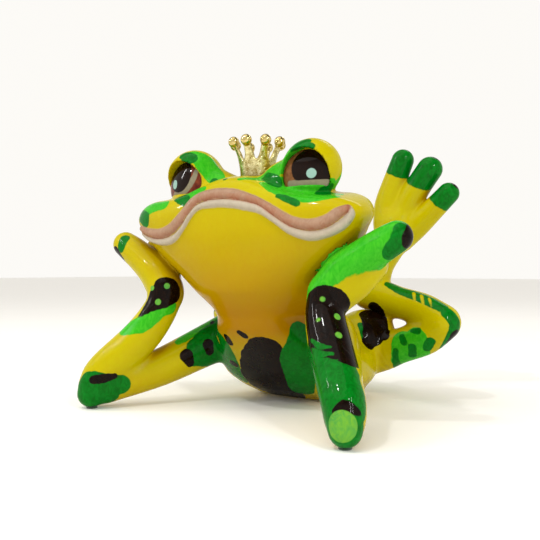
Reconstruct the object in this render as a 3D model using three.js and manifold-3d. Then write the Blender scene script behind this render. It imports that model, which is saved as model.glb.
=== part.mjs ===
// Crowned frog figurine lying on its belly, chin in its hands and feet kicked up behind it.
// Millimetres, +Z up. The frog faces -Y and its left side is +X. The origin is the middle of
// the belly's resting face. Every casting is glued to the next over a steel dowel.
import * as THREE from 'three';
import { mergeVertices } from 'three/addons/utils/BufferGeometryUtils.js';
import Module from 'manifold-3d';

const wasm = await Module();
wasm.setup();

// ---- driving dimensions -------------------------------------------------------------------
const FIT = 0.3; // glue gap between neighbouring pieces
const PAD_THICKNESS = 1.2;
const SOLE = PAD_THICKNESS + FIT; // height of the castings' flattened undersides
const NECK_Z = 56; // parting plane between torso and head
const CROWN_Z = 135.4; // flat seat on the skull
const ANKLE_Z = 78; // parting plane between leg and foot
const SPIGOT = { centre: [0, -57.6], radii: [23.6, 27.6], foot: 50, top: 61 }; // neck joint
const BIG = 400;

// Horizontal sections: height, half width, centre y, depth in front and behind that centre.
const SECTION_POWER = 2.2;
const TRUNK = [
  [0, 33, -20, 12, 38],
  [8, 41, -28, 20, 47],
  [17, 48, -34, 25.5, 59],
  [28, 48, -42, 29, 66],
  [40, 40, -50, 33, 56],
  [48, 33, -54, 36, 46],
  [56, 29, -60, 34, 40],
  [68, 39, -68, 34, 38],
  [80, 51, -75, 30, 40],
  [92, 64, -80, 26, 44],
  [104, 74, -84, 22.5, 46],
  [113, 77.5, -85, 20, 46],
  [118, 72, -84, 18.5, 44],
  [122, 59, -83, 17, 42],
  [126, 44, -82, 16, 38],
  [130, 32, -80, 15, 32],
  [CROWN_Z, 16, -76, 12, 16],
];

// Limb stations: x, y, z, radius, for the left side; the right side is mirrored.
const UPPER_ARM = [[33, -46, 42, 16], [45.5, -60, 35, 13.2], [63, -88, 21.5, 11.4], [80, -116, 11.5, 9.4]];
const FOREARM = [
  [84.5, -124, 8.6, 8], [83, -121.5, 15, 9.6], [79, -117, 23, 10.8], [65.5, -102.5, 41, 11.1],
  [57, -94, 58, 10.2], [56.5, -90, 70, 10],
];
const THUMB = [[56.5, -90, 70, 10], [65, -89, 80, 10.4], [77, -88, 88.5, 9.5], [87, -87.5, 94.5, 8.7], [93.5, -87, 98, 8]];
const HEEL_OF_HAND = [[57, -88, 66, 9.6], [68, -84, 75, 9.6], [77, -81, 84, 8.4]];
const FINGERS = [[60, -84, 76, 8], [70, -77, 87, 7.5], [77, -74, 94, 6.5], [80.5, -73, 97, 5.6]];
const HAUNCH = { centre: [26, 8, 34], radii: [20, 22, 20] };
const THIGH = [[22, 12, 27, 14], [38, 10, 28, 13], [53, 9, 33, 11.2], [72, 8, 40, 10.6], [82.5, 7, 49, 9.6]];
const SHIN = [[82.5, 7, 50, 9.6], [70, 10, 56.5, 10], [51, 14, 60.5, 10.3], [39, 16.5, 63, 11.2], [27, 18, 65.5, 10.4]];
const PALM = [[31, 18, 68, 10], [34, 20, 84, 9.6], [39, 23, 98, 11.5], [43, 26, 110, 13]];
const TOES = [
  [[38, 26, 114, 10], [37.5, 28, 126, 9.4], [42, 29.5, 143, 7.9], [46.6, 30, 155, 7.4]],
  [[46, 27, 112, 10], [50, 28.5, 123.5, 9], [58, 29.5, 137, 8.4], [65.5, 30, 147.5, 8.3]],
  [[47, 27, 104, 10], [57, 28, 111, 8.5], [69, 29, 122, 7.4], [78.3, 29.5, 131, 6.9]],
];
const MOUTH = [
  [0, -103, 122, 4.2], [22, -102.5, 119, 4.2], [38, -101, 108.5, 4.2],
  [52, -97, 101.5, 4.2], [64, -92.5, 104.5, 4], [71, -89, 111, 3.8],
];

const DOME = { centre: [40.8, -79.2, 137], radius: 16.2 };
const BROW = { centre: [25, -75, 130], radii: [19, 14, 14] };
const EYE = { gaze: 10, drop: 5.6, radius: 15, apex: 8.9, rounding: 34, back: -4, reach: 24, lidDrop: 10.4 };

const CROWN = { prongs: 8, phase: 9, y: -75, base: 8.8, rim: 13.4, ball: 3.3, ballRing: 14.3, wall: 1.6 };
CROWN.seat = CROWN.base + 2; // radius of the round seat cut for it between the brows
CROWN.valley = CROWN_Z + 8.4;
CROWN.top = CROWN_Z + 17.5;
CROWN.ballZ = CROWN_Z + 19.7;
CROWN.notch = 5.6;

// Parting planes across the root of the upper arm and of the thigh: a point and the way out.
const SHOULDER_CUT = { point: [55, -74, 25], outward: [18, -28, -13] };
const HIP_CUT = { point: [45, 9.5, 29], outward: [15, -1, 6] };

const DOWEL = 2; // radius of the steel dowels
const SHOULDER_PIN = [[62, -86, 22], [46.5, -60.5, 31.5]];
const HIP_PIN = [[56, 9, 33], [32, 9, 25]];
const ANKLE_PIN = [[31.5, 18.5, 72], [36.5, 21.5, 91]];

const BELLY_PAD = { centre: [0, -6], radii: [26, 16] };
const ELBOW_PAD = { centre: [84.2, -123.6], radii: [3.2, 3.2] };

// ---- solids -------------------------------------------------------------------------------
function closedBody(positions, indices) {
  return new wasm.Manifold(new wasm.Mesh({
    numProp: 3,
    vertProperties: new Float32Array(positions),
    triVerts: new Uint32Array(indices),
  }));
}

function toSolid(geometry) {
  const bare = geometry.clone();
  bare.deleteAttribute('normal');
  bare.deleteAttribute('uv');
  const merged = mergeVertices(bare, 1e-4);
  return closedBody(merged.attributes.position.array, merged.index.array);
}

function toGeometry(solid) {
  const mesh = solid.getMesh();
  const geometry = new THREE.BufferGeometry();
  geometry.setAttribute('position', new THREE.BufferAttribute(mesh.vertProperties, 3));
  geometry.setIndex(new THREE.BufferAttribute(mesh.triVerts, 1));
  geometry.computeVertexNormals();
  return geometry;
}

const union = (...solids) => solids.reduce((whole, solid) => whole.add(solid));

// A sphere whose rings are moved: place(row, cos, sin) gives each vertex its new position.
// Row 0 is the pole at the top or the far end, and the last row the opposite pole.
function ringed(around, rows, place) {
  const geometry = new THREE.SphereGeometry(1, around, rows);
  const position = geometry.attributes.position;
  for (let row = 0; row <= rows; row += 1) {
    for (let column = 0; column <= around; column += 1) {
      const angle = (2 * Math.PI * (column % around)) / around;
      const point = place(row, -Math.cos(angle), -Math.sin(angle));
      position.setXYZ(row * (around + 1) + column, point.x, point.y, point.z);
    }
  }
  return toSolid(geometry);
}

function ball([x, y, z], [rx, ry, rz], around = 16, rows = 10) {
  const geometry = new THREE.SphereGeometry(1, around, rows);
  geometry.rotateX(Math.PI / 2);
  geometry.scale(rx, ry, rz);
  geometry.translate(x, y, z);
  return toSolid(geometry);
}

// A tapering limb with round ends along a smooth curve through its stations.
function limb(stations, { around = 12, steps = 6, cap = 2 } = {}) {
  const curve = new THREE.CatmullRomCurve3(
    stations.map(([x, y, z]) => new THREE.Vector3(x, y, z)), false, 'catmullrom', 0.5,
  );
  const girth = new THREE.SplineCurve(stations.map(([, , , r], i) => new THREE.Vector2(i, r)));
  const frames = curve.computeFrenetFrames(steps, false);
  const lastRow = steps + 2 * cap;
  return ringed(around, lastRow, (row, cos, sin) => {
    const station = THREE.MathUtils.clamp(lastRow - row - cap, 0, steps);
    const tilt = (Math.PI / 2) * Math.min(Math.max((Math.abs(row - lastRow / 2) - steps / 2) / cap, 0), 1);
    const t = station / steps;
    const radius = girth.getPoint(t).y;
    const side = row < cap ? 1 : -1;
    const centre = curve.getPoint(t);
    const tangent = curve.getTangent(t);
    centre.addScaledVector(tangent, side * radius * Math.sin(tilt));
    centre.addScaledVector(frames.normals[station], cos * radius * Math.cos(tilt));
    centre.addScaledVector(frames.binormals[station], sin * radius * Math.cos(tilt));
    return centre;
  });
}

// Smooth values of the trunk's sections at one height.
function sectionAt(z) {
  let i = 0;
  while (i < TRUNK.length - 2 && TRUNK[i + 1][0] < z) i += 1;
  const [low, high] = [TRUNK[i], TRUNK[i + 1]];
  const t = THREE.MathUtils.clamp((z - low[0]) / (high[0] - low[0]), 0, 1);
  return low.map((value, k) => THREE.MathUtils.lerp(value, high[k], t));
}

// The trunk's outline between heights, each section grown outward; flat at both ends.
function trunk(heights, grow = 0, around = 32) {
  const rows = heights.length + 1;
  return ringed(around, rows, (row, cos, sin) => {
    const level = heights[THREE.MathUtils.clamp(rows - 1 - row, 0, heights.length - 1)];
    const [, width, centre, front, back] = sectionAt(level);
    if (row === 0 || row === rows) return new THREE.Vector3(0, centre, level);
    const depth = (sin < 0 ? front : back) + grow;
    const reach = (Math.abs(cos) ** SECTION_POWER + Math.abs(sin) ** SECTION_POWER) ** (-1 / SECTION_POWER);
    return new THREE.Vector3(cos * reach * (width + grow), centre + sin * reach * depth, level);
  });
}

function rod([from, to], radius, sides = 12) {
  const [a, b] = [new THREE.Vector3(...from), new THREE.Vector3(...to)];
  const geometry = new THREE.CylinderGeometry(radius, radius, a.distanceTo(b), sides);
  const turn = new THREE.Quaternion().setFromUnitVectors(
    new THREE.Vector3(0, 1, 0), b.clone().sub(a).normalize(),
  );
  geometry.applyQuaternion(turn);
  geometry.translate((a.x + b.x) / 2, (a.y + b.y) / 2, (a.z + b.z) / 2);
  return toSolid(geometry);
}

// The same rod made longer at its second end.
function extended([from, to], extra) {
  const [a, b] = [new THREE.Vector3(...from), new THREE.Vector3(...to)];
  const end = b.clone().addScaledVector(b.clone().sub(a).normalize(), extra);
  return [from, end.toArray()];
}

function slab(zLow, zHigh) {
  const geometry = new THREE.BoxGeometry(BIG, BIG, zHigh - zLow);
  geometry.translate(0, 0, (zLow + zHigh) / 2);
  return toSolid(geometry);
}

function disc([x, y], [rx, ry], zLow, zHigh, sides = 32) {
  const geometry = new THREE.CylinderGeometry(1, 1, zHigh - zLow, sides);
  geometry.rotateX(Math.PI / 2);
  geometry.scale(rx, ry, 1);
  geometry.translate(x, y, (zLow + zHigh) / 2);
  return toSolid(geometry);
}

// Everything beyond a parting plane, which is first moved outward by gap.
function beyond({ point, outward }, gap = 0) {
  const geometry = new THREE.BoxGeometry(BIG, BIG, BIG);
  geometry.translate(0, 0, BIG / 2 + gap);
  const way = new THREE.Vector3(...outward).normalize();
  geometry.applyQuaternion(new THREE.Quaternion().setFromUnitVectors(new THREE.Vector3(0, 0, 1), way));
  geometry.translate(...point);
  return toSolid(geometry);
}

// The other side's copy: x changes sign, and so does the order of each triangle's corners.
function mirrored(solid) {
  const { vertProperties, triVerts } = solid.getMesh();
  return closedBody(vertProperties.map((value, i) => (i % 3 === 0 ? -value : value)), triVerts.slice().reverse());
}

const onBothSides = (solid) => solid.add(mirrored(solid));
const belowSole = slab(-BIG, SOLE);

// ---- eyes ---------------------------------------------------------------------------------
// A round profile on the line of sight, cut straight along the lower lid.
function onGaze(profile, lidGap = 0) {
  const geometry = new THREE.LatheGeometry(profile, 24);
  const turn = THREE.MathUtils.degToRad(EYE.gaze);
  const axis = new THREE.Vector3(Math.sin(turn), -Math.cos(turn), 0);
  geometry.applyQuaternion(new THREE.Quaternion().setFromUnitVectors(new THREE.Vector3(0, 1, 0), axis));
  const [x, y, z] = DOME.centre;
  geometry.translate(x, y, z - EYE.drop);
  return toSolid(geometry).subtract(slab(-BIG, z - EYE.lidDrop - lidGap));
}

// A polished cabochon with a shallow domed face.
function eye() {
  const { radius, apex, rounding, back } = EYE;
  const profile = [new THREE.Vector2(0, back), new THREE.Vector2(radius, back)];
  const arcSteps = 5;
  for (let i = 0; i <= arcSteps; i += 1) {
    const r = radius * (1 - i / arcSteps);
    profile.push(new THREE.Vector2(r, apex - rounding + Math.sqrt(rounding ** 2 - r ** 2)));
  }
  return onGaze(profile);
}

// The opening between the lids, open to the front.
function eyeSocket() {
  const { radius, back, reach } = EYE;
  const corners = [[0, back - FIT], [radius + FIT, back - FIT], [radius + FIT, reach], [0, reach]];
  return onGaze(corners.map(([r, depth]) => new THREE.Vector2(r, depth)), FIT);
}

// ---- crown --------------------------------------------------------------------------------
function crown() {
  const { prongs, phase, y, base, rim, ball: bead, ballRing, wall, valley, top, ballZ, notch } = CROWN;
  const low = CROWN_Z + FIT;
  const flare = new THREE.QuadraticBezierCurve(
    new THREE.Vector2(base, low), new THREE.Vector2(base + 1.4, valley), new THREE.Vector2(rim, top),
  ).getPoints(4);
  const inside = flare.map(({ x, y: height }) => new THREE.Vector2(x - wall, height)).reverse();
  const shell = new THREE.LatheGeometry([...flare, ...inside, flare[0]], 24);
  shell.rotateX(Math.PI / 2);
  shell.translate(0, y, 0);
  let solid = toSolid(shell);
  const outline = new THREE.Shape();
  outline.moveTo(0, valley);
  outline.quadraticCurveTo(notch * 0.42, valley + 3.4, notch / 2, top + 1);
  outline.lineTo(-notch / 2, top + 1);
  outline.quadraticCurveTo(-notch * 0.42, valley + 3.4, 0, valley);
  for (let i = 0; i < prongs; i += 1) {
    const turn = THREE.MathUtils.degToRad(phase) + (2 * Math.PI * i) / prongs;
    const cutter = new THREE.ExtrudeGeometry(outline, { depth: BIG / 10, bevelEnabled: false, curveSegments: 3 });
    cutter.rotateX(Math.PI / 2);
    cutter.rotateZ(turn + Math.PI / prongs);
    cutter.translate(0, y, 0);
    solid = solid.subtract(toSolid(cutter));
    const beadCentre = [ballRing * Math.sin(turn), y - ballRing * Math.cos(turn), ballZ];
    solid = solid.add(ball(beadCentre, [bead, bead, bead], 8, 6));
  }
  return solid;
}

// ---- castings -----------------------------------------------------------------------------
const skinHeights = (low, high) => [low, ...TRUNK.map(([z]) => z).filter((z) => z > low && z < high), high];
const wholeTrunk = (grow) => trunk(skinHeights(0, CROWN_Z), grow);
const haunch = (grow) => ball(HAUNCH.centre, HAUNCH.radii.map((r) => r + grow));
const blindHole = (pin) => rod(extended(pin, FIT), DOWEL + FIT);
const headBumps = (grow) => union(
  ball(DOME.centre, Array(3).fill(DOME.radius + grow), 20, 12),
  ball(BROW.centre, BROW.radii.map((r) => r + grow)),
);

// The roots of the arms and the haunches are cast with the torso.
function torsoCasting() {
  const { centre, radii, foot, top } = SPIGOT;
  const armRoot = limb(UPPER_ARM).subtract(beyond(SHOULDER_CUT));
  const thighRoot = union(haunch(0), limb(THIGH)).subtract(beyond(HIP_CUT));
  return trunk(skinHeights(SOLE, NECK_Z))
    .add(onBothSides(armRoot.add(thighRoot).subtract(belowSole)))
    .subtract(slab(NECK_Z, BIG))
    .add(disc(centre, radii, foot, top))
    .subtract(onBothSides(blindHole(SHOULDER_PIN)))
    .subtract(onBothSides(blindHole(HIP_PIN)));
}

function headCasting() {
  const { centre, radii, top } = SPIGOT;
  const mouth = limb(MOUTH, { around: 8, steps: 10 });
  return union(wholeTrunk(0), onBothSides(headBumps(0)), onBothSides(mouth))
    .subtract(slab(-BIG, NECK_Z + FIT))
    .subtract(disc([0, CROWN.y], [CROWN.seat, CROWN.seat], CROWN_Z, BIG))
    .subtract(disc(centre, radii.map((r) => r + FIT), -BIG, top + FIT))
    .subtract(onBothSides(eyeSocket()));
}

// The shoulder cut crosses the upper arm only; the hand reaches back past its plane.
function armCasting() {
  const upperArm = limb(UPPER_ARM).intersect(beyond(SHOULDER_CUT, FIT));
  const hand = union(limb(THUMB), limb(HEEL_OF_HAND, { steps: 4 }), limb(FINGERS, { around: 10, steps: 5 }));
  return union(upperArm, limb(FOREARM, { steps: 8 }), hand)
    .subtract(wholeTrunk(FIT))
    .subtract(headBumps(FIT))
    .subtract(belowSole)
    .subtract(rod(SHOULDER_PIN, DOWEL + FIT));
}

// The calf is folded down onto the haunch, which leaves a dent in it.
function legCasting() {
  const calf = union(limb(SHIN), limb(PALM, { steps: 5 })).subtract(haunch(FIT));
  return limb(THIGH).intersect(beyond(HIP_CUT, FIT))
    .add(calf)
    .subtract(slab(ANKLE_Z, BIG))
    .subtract(rod(HIP_PIN, DOWEL + FIT))
    .subtract(rod(ANKLE_PIN, DOWEL + FIT));
}

function footCasting() {
  return union(limb(PALM, { steps: 5 }), ...TOES.map((toe) => limb(toe, { steps: 4 })))
    .subtract(slab(-BIG, ANKLE_Z + FIT))
    .subtract(rod(ANKLE_PIN, DOWEL + FIT));
}

// ---- materials and assembly -----------------------------------------------------------------
const finish = (color, roughness, metalness = 0) => new THREE.MeshStandardMaterial({ color, roughness, metalness });
const glossYellow = () => finish(0xe0b800, 0.12);
const glossGreen = () => finish(0x118a2c, 0.12);
const eyeGloss = () => finish(0x1a0d06, 0.05);
const gold = () => finish(0xc29a3a, 0.3, 1);
const steel = () => finish(0x9a9ca0, 0.35, 1);
const felt = () => finish(0x1f3a24, 0.95);

const frog = new THREE.Group();
function place(name, solid, material) {
  const mesh = new THREE.Mesh(toGeometry(solid), material);
  mesh.name = name;
  frog.add(mesh);
}
function placePair(name, solid, material) {
  place(`left_${name}`, solid, material());
  place(`right_${name}`, mirrored(solid), material());
}

place('torso', torsoCasting(), glossYellow());
place('head', headCasting(), glossYellow());
placePair('eye', eye(), eyeGloss);
place('crown', crown(), gold());
placePair('arm', armCasting(), glossYellow);
placePair('leg', legCasting(), glossYellow);
placePair('foot', footCasting(), glossGreen);
placePair('shoulder_dowel', rod(SHOULDER_PIN, DOWEL, 12), steel);
placePair('hip_dowel', rod(HIP_PIN, DOWEL, 12), steel);
placePair('ankle_dowel', rod(ANKLE_PIN, DOWEL, 12), steel);
place('belly_pad', disc(BELLY_PAD.centre, BELLY_PAD.radii, 0, PAD_THICKNESS), felt());
placePair('elbow_pad', disc(ELBOW_PAD.centre, ELBOW_PAD.radii, 0, PAD_THICKNESS, 20), felt);

export default frog;
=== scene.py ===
"""Looks of the crowned frog figurine: glossy hand-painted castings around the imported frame.

The skin of every casting is one signed-distance field in millimetres, meshed piece by piece on a shared
lattice, so that neighbouring pieces meet in the same curve and the glued joints don't show.
"""
import math

import bmesh
import bpy
import numpy as np
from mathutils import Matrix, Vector


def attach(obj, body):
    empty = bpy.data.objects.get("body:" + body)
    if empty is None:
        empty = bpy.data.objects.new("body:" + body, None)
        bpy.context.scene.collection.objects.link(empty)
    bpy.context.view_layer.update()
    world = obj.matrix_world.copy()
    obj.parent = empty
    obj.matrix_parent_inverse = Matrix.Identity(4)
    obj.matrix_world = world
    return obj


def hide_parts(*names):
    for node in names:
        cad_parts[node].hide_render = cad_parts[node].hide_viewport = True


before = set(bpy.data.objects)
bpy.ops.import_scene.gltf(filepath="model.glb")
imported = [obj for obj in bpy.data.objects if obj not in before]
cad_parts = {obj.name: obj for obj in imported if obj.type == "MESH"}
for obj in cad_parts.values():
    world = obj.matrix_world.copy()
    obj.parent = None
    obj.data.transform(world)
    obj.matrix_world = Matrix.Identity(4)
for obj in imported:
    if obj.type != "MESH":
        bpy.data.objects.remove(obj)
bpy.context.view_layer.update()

MM = 0.001
F = np.float32
FLOOR_REACH = 6  # metres

# ---- camera and light ----
TARGET = Vector((0.0, -0.060, 0.0816))
AZIMUTH, DISTANCE = 34.0, 0.414
FIELD_OF_VIEW = 2 * math.atan(9 / 23)  # the picture is 18 wide at a distance of 23
WALL, CEILING = (0.98, 0.962, 0.925), (0.26, 0.25, 0.235)
WALL_TOP, CEILING_FROM = 0.42, 0.68  # sine of the elevation where the wall ends and the ceiling begins
SOFTBOXES = [  # name, azimuth, elevation, distance, size in metres, power
    ("key", -8, 56, 1.0, (0.05, 0.045), 1.8),
    ("catch_light", -38, 39, 1.0, (0.04, 0.03), 0.8),
    ("left_window", -58, 30, 1.1, (0.014, 0.32), 1.6),
    ("front_strip", 62, 30, 1.0, (0.007, 0.5), 2.2),
    ("side_strip", 74, 26, 1.0, (0.008, 0.45), 1.4),
    ("back_strip", 180, 45, 1.2, (0.5, 0.10), 1.0),
]


def placed(name, data):
    """A new object in the scene."""
    thing = bpy.data.objects.new(name, data)
    bpy.context.scene.collection.objects.link(thing)
    return thing


def aim(thing, azimuth, elevation, distance):
    """Puts a camera or lamp round the figurine, looking at it; azimuth 0 is in front of the face."""
    a, e = math.radians(azimuth), math.radians(elevation)
    way = Vector((math.sin(a) * math.cos(e), -math.cos(a) * math.cos(e), math.sin(e)))
    thing.location = TARGET + distance * way
    thing.rotation_euler = way.to_track_quat("Z", "Y").to_euler()


def add_camera():
    data = bpy.data.cameras.new("camera")
    data.sensor_fit = "HORIZONTAL"
    data.angle = FIELD_OF_VIEW
    data.clip_start, data.clip_end = 0.01, 50.0
    camera = placed("camera", data)
    aim(camera, AZIMUTH, 0, DISTANCE)
    bpy.context.scene.camera = camera


def add_world():
    """A pale room, brightest round the horizon and dimmer overhead."""
    world = bpy.data.worlds.new("studio")
    world.use_nodes = True
    nodes, links = world.node_tree.nodes, world.node_tree.links
    place = nodes.new("ShaderNodeTexCoord")
    split = nodes.new("ShaderNodeSeparateXYZ")
    ramp = nodes.new("ShaderNodeValToRGB")
    links.new(place.outputs["Generated"], split.inputs[0])
    links.new(split.outputs["Z"], ramp.inputs["Fac"])
    links.new(ramp.outputs["Color"], nodes["Background"].inputs["Color"])
    stops = ramp.color_ramp.elements
    stops[0].position, stops[0].color = 0.0, (*WALL, 1)
    stops[1].position, stops[1].color = 1.0, (*CEILING, 1)
    stops.new(WALL_TOP).color = (*WALL, 1)
    stops.new(CEILING_FROM).color = (*CEILING, 1)
    nodes["Background"].inputs["Strength"].default_value = 1.0
    bpy.context.scene.world = world


def add_lights():
    add_world()
    sun = bpy.data.lights.new("skylight", "SUN")
    sun.energy, sun.angle, sun.color = 1.25, math.radians(70), (1.0, 0.985, 0.95)
    placed("skylight", sun).rotation_euler = (math.radians(18), math.radians(-12), 0)
    for name, azimuth, elevation, distance, size, power in SOFTBOXES:
        data = bpy.data.lights.new(name, "AREA")
        data.shape = "RECTANGLE"
        data.size, data.size_y = size
        data.energy = power
        aim(placed(name, data), azimuth, elevation, distance)


# ---- signed distances, in millimetres ----
def join(a, b, blend):
    """Union of two fields with a fillet about half of blend wide."""
    overlap = np.maximum(blend - np.abs(a - b), 0) / blend
    return np.minimum(a, b) - overlap**3 * blend / 6


def common(a, b, blend):
    return -join(-a, -b, blend)


def ellipsoid(p, centre, radii):
    q = (p - np.array(centre, F)) / np.array(radii, F)
    level = np.linalg.norm(q, axis=1)
    slope = np.linalg.norm(q / np.array(radii, F), axis=1)
    return level * (level - 1) / np.maximum(slope, 1e-6)


def along(stations, steps=5):
    """A smooth curve through rows of numbers, as more rows."""
    rows = np.array(stations, float)
    rows = np.vstack([2 * rows[0] - rows[1], rows, 2 * rows[-1] - rows[-2]])
    fine = []
    for a, b, c, d in zip(rows, rows[1:], rows[2:], rows[3:]):
        for t in np.arange(steps) / steps:
            fine.append((2 * b + (c - a) * t + (2 * a - 5 * b + 4 * c - d) * t**2
                         + (3 * b - 3 * c + d - a) * t**3) / 2)
    fine.append(rows[-2])
    return np.array(fine)


FAR = 14.0  # beyond this distance from a limb's box its field is only known to be large


def limb(p, stations, steps=5):
    """Distance to a round limb through rows of x, y, z, radius."""
    fine = along(stations, steps).astype(F)
    low = (fine[:, :3] - fine[:, 3:]).min(0) - FAR
    high = (fine[:, :3] + fine[:, 3:]).max(0) + FAR
    close = ((p > low) & (p < high)).all(1)
    q = p[close]
    nearest = np.full(len(q), F(FAR) * 3)
    for a, b in zip(fine, fine[1:]):
        way = b[:3] - a[:3]
        t = np.clip(((q - a[:3]) @ way) / float(way @ way), 0, 1)
        gap = np.linalg.norm(q - a[:3] - t[:, None] * way, axis=1) - (a[3] + t * (b[3] - a[3]))
        nearest = np.minimum(nearest, gap)
    distance = np.full(len(p), F(FAR))
    distance[close] = nearest
    return distance


def monotone(knots, values, at):
    """Smooth interpolation without overshoot, column by column."""
    knots, values = np.array(knots, float), np.array(values, float)
    step = np.diff(knots)[:, None]
    rise = np.diff(values, axis=0) / step
    before, after = 2 * step[1:] + step[:-1], step[1:] + 2 * step[:-1]
    same_way = rise[:-1] * rise[1:] > 0
    first, second = np.where(same_way, rise[:-1], 1), np.where(same_way, rise[1:], 1)
    safe = np.where(same_way, before / first + after / second, 1)
    inner = np.where(same_way, (before + after) / safe, 0)
    slope = np.vstack([rise[0], inner, rise[-1]])
    i = np.clip(np.searchsorted(knots, at) - 1, 0, len(knots) - 2)
    width = step[i, 0][:, None]
    t = ((at - knots[i])[:, None]) / width
    return (values[i] * (1 + 2 * t) * (1 - t) ** 2 + values[i + 1] * t**2 * (3 - 2 * t)
            + width * (slope[i] * t * (1 - t) ** 2 - slope[i + 1] * t**2 * (1 - t)))


# Horizontal sections of the trunk: height, half width, centre y, depth in front and behind.
TRUNK = [
    (-6, 28, -19, 8, 34), (0, 33, -20, 12, 38), (8, 41, -28, 20, 47),
    (17, 48, -34, 25.5, 59), (28, 48, -42, 29, 66), (40, 40, -50, 33, 56),
    (48, 33, -54, 36, 46), (56, 29, -60, 34, 40), (68, 39, -68, 34, 38),
    (80, 51, -75, 30, 40), (92, 64, -80, 26, 44), (104, 74, -84, 22.5, 46),
    (114, 79, -85, 20.5, 46), (124, 79, -85, 19, 44), (140, 74, -83, 17, 40),
]
POWER = 2.2  # of the sections; 2 would make them ellipses
CHEEK_SHIFT = 2.0  # the cheeks sit this much to the right
LEVEL_COUNT = 400
LEVELS = np.linspace(TRUNK[0][0], TRUNK[-1][0], LEVEL_COUNT)
SECTIONS = monotone([row[0] for row in TRUNK], [row[1:] for row in TRUNK], LEVELS)

# Limb stations of the left side: x, y, z, radius.
UPPER_ARM = [(33, -46, 42, 16), (45.5, -60, 35, 13.2), (63, -88, 21.5, 11.4), (80, -116, 11.5, 9.4)]
FOREARM = [
    (84.5, -124, 8.6, 8), (83, -121.5, 15, 9.6), (79, -117, 23, 10.8), (65.5, -102.5, 41, 11.1),
    (57, -94, 58, 10.2), (56.5, -90, 70, 10),
]
THUMB = [
    (56.5, -90, 70, 10), (65, -89, 80, 10.4), (77, -88, 88.5, 9.5), (87, -87.5, 94.5, 8.7),
    (93.5, -87, 98, 8),
]
HEEL_OF_HAND = [(57, -88, 66, 9.6), (68, -84, 75, 9.6), (77, -81, 84, 8.4)]
FINGERS = [(60, -84, 76, 8), (70, -77, 87, 7.5), (77, -74, 94, 6.5), (80.5, -73, 97, 5.6)]
THIGH = [(22, 12, 27, 14), (38, 10, 28, 13), (53, 9, 33, 11.2), (72, 8, 40, 10.6), (82.5, 7, 49, 9.6)]
SHIN = [
    (82.5, 7, 50, 9.6), (70, 10, 56.5, 10), (51, 14, 60.5, 10.3), (39, 16.5, 63, 11.2), (27, 18, 65.5, 10.4),
]
PALM = [(31, 18, 68, 10), (34, 20, 84, 9.6), (39, 23, 98, 11.5), (43, 26, 110, 13)]
TOES = [
    [(38, 26, 114, 10), (37.5, 28, 126, 9.4), (42, 29.5, 143, 7.9), (46.6, 30, 155, 7.4)],
    [(46, 27, 112, 10), (50, 28.5, 123.5, 9), (58, 29.5, 137, 8.4), (65.5, 30, 147.5, 8.3)],
    [(47, 27, 104, 10), (57, 28, 111, 8.5), (69, 29, 122, 7.4), (78.3, 29.5, 131, 6.9)],
]
HAUNCH = ((26, 8, 34), (20, 22, 20))
HIP_SWELL = ((29.5, 11.5, 42.5), (18.5, 11, 12.8))  # the haunch bulges up to the calf here
# The modeller's two eyes aren't quite alike: centre and radius of each dome, and its brow.
DOMES = {1: ((40.8, -79.2, 137), 16.2), -1: ((-41.6, -79.2, 137.2), 17.3)}
BROWS = {1: ((25, -75, 130), (19, 14, 14)), -1: ((-28, -76, 128.5), (18, 14, 13))}
CROWN_AT = (1.0, -74.6)
CROWN_LOW, CROWN_VALLEY, CROWN_TOP = 134.8, 144.6, 152.8
CROWN_BALL_Z, CROWN_BALL_RING, CROWN_BALL = 155.0, 14.3, 3.2
PRONGS, CROWN_PHASE = 8, math.radians(9)
PRONG_WIDEST = 9  # half width; below the valleys the prongs run together
LENSES = {1: (8.9, 34), -1: (12.6, 27)}  # how far each lens stands out, and its radius
PAD_THICKNESS = 1.2
CREASE_Z = 50  # the calf rests on the haunch above this
HAIRLINE = 0.15  # between two pieces that lie against each other
NECK_Z = 56  # parting plane between torso and head
ANKLE_Z = 78  # parting plane between leg and foot
SOLE = 1.5  # height of the castings' flattened undersides, above the felt

# Where a limb is glued on: a point of the cut, the way out of the torso, and the block it works in.
SHOULDER = ((55, -74, 25), (18, -28, -13), (35, -100, 5), (80, -52, 46))
HIP = ((45, 9.5, 29), (15, -1, 6), (25, -14, 0), (75, 40, 50))

# The mouth as seen from the front: x, z, half thickness, from the right corner to the left one.
UPPER_LIP = [
    (-71, 107, 1.6), (-63, 104.6, 2.3), (-52, 103, 2.8), (-43, 104, 3.2), (-36, 107, 3.7), (-29, 112.5, 3.9),
    (-24, 118, 3.6), (-18, 121.8, 3.2), (-8, 123.2, 3.2), (4, 122.7, 3.1), (15, 120.3, 2.3), (24, 117.2, 1.8),
    (33, 111.9, 2.2), (42, 106.7, 2.5), (51, 104.7, 2.8), (59, 106.2, 3), (65, 110, 2.6), (69.5, 112.7, 1.8),
]
LOWER_LIP = [
    (-70, 104, 1.6), (-62, 100.6, 2), (-52, 98.6, 1.9), (-43, 98.4, 1.9), (-36, 100.2, 1.7),
    (-29, 105.4, 1.1), (-24, 111.6, 1.1), (-18, 116.8, 1.3), (-8, 118.2, 2), (4, 117.8, 2.1),
    (15, 115.9, 2.3), (24, 113.6, 2), (33, 108, 1.5), (42, 102, 1.9), (51, 99.4, 2.5), (59, 100.8, 2.5),
    (66, 104.7, 2.8), (71, 109.4, 1.9), (70.2, 113, 1.5),
]
FACE_NEAR, FACE_FAR = -140.0, -85.0  # the skin of the face has its y between these
HALVINGS = 24


def left_side(p):
    """The same points with x made positive, for what is alike on both sides."""
    q = p.copy()
    q[:, 0] = np.abs(q[:, 0])
    return q


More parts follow.
